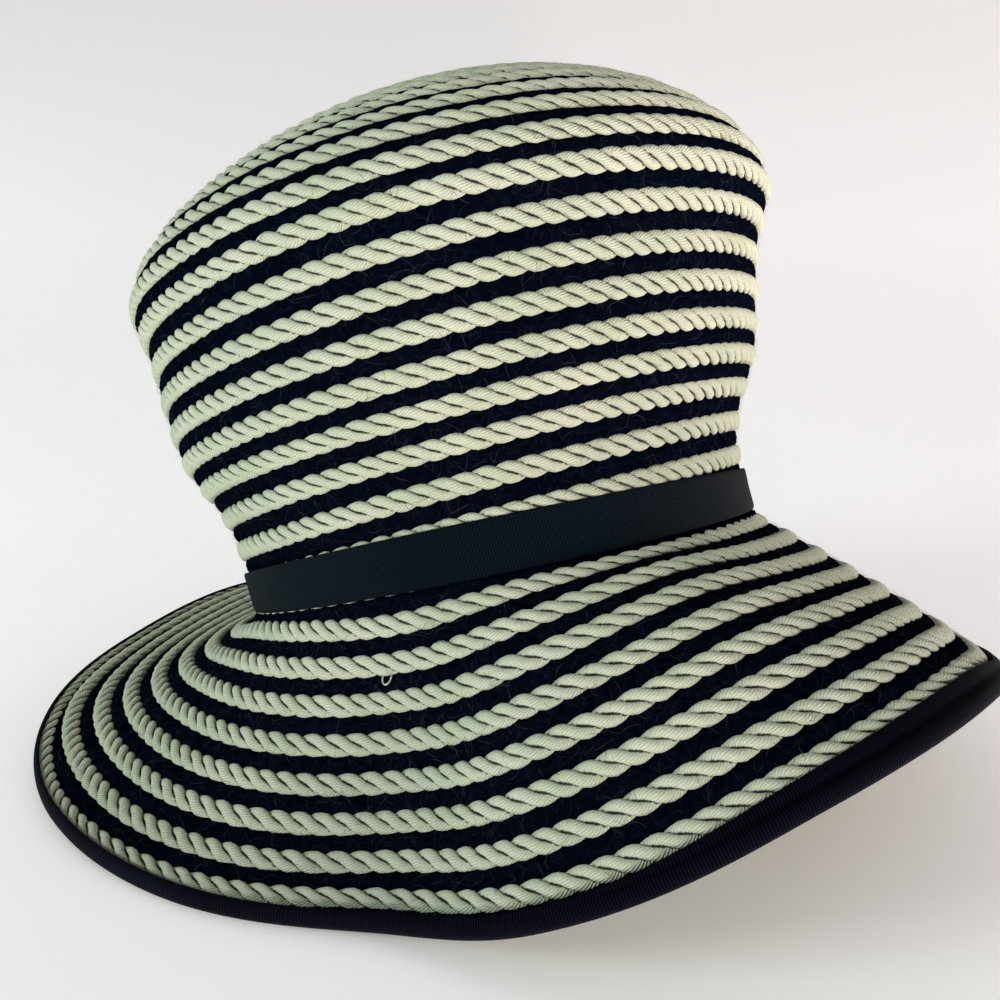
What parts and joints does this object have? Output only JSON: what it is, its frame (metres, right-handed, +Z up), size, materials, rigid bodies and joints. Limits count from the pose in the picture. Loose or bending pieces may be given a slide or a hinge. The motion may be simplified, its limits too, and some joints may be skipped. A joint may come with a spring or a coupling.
{
  "type": "wide brim hat",
  "caption": "Striped cord hat with a tall flared crown, black ribbon band and a wide drooping wavy brim bound in ribbon",
  "frame": {"origin": "on the table, under the middle of the bounding box", "axes": "+Z up, -Y the front of the hat, +X the side where the brim is lifted; the hat leans to -X and back as it stands by itself"},
  "size_m": [0.3384, 0.3536, 0.2335],
  "materials": {
    "crown": "cream twisted cord between rows of black hairy wool",
    "brim": "cream twisted cord between rows of black hairy wool",
    "hat_band": "black ribbed ribbon",
    "brim_binding": "black ribbed ribbon"
  },
  "bodies": {
    "root": {"crown": "crown", "brim": "brim", "hat_band": "hat_band", "brim_binding": "brim_binding"}
  },
  "joints": []
}
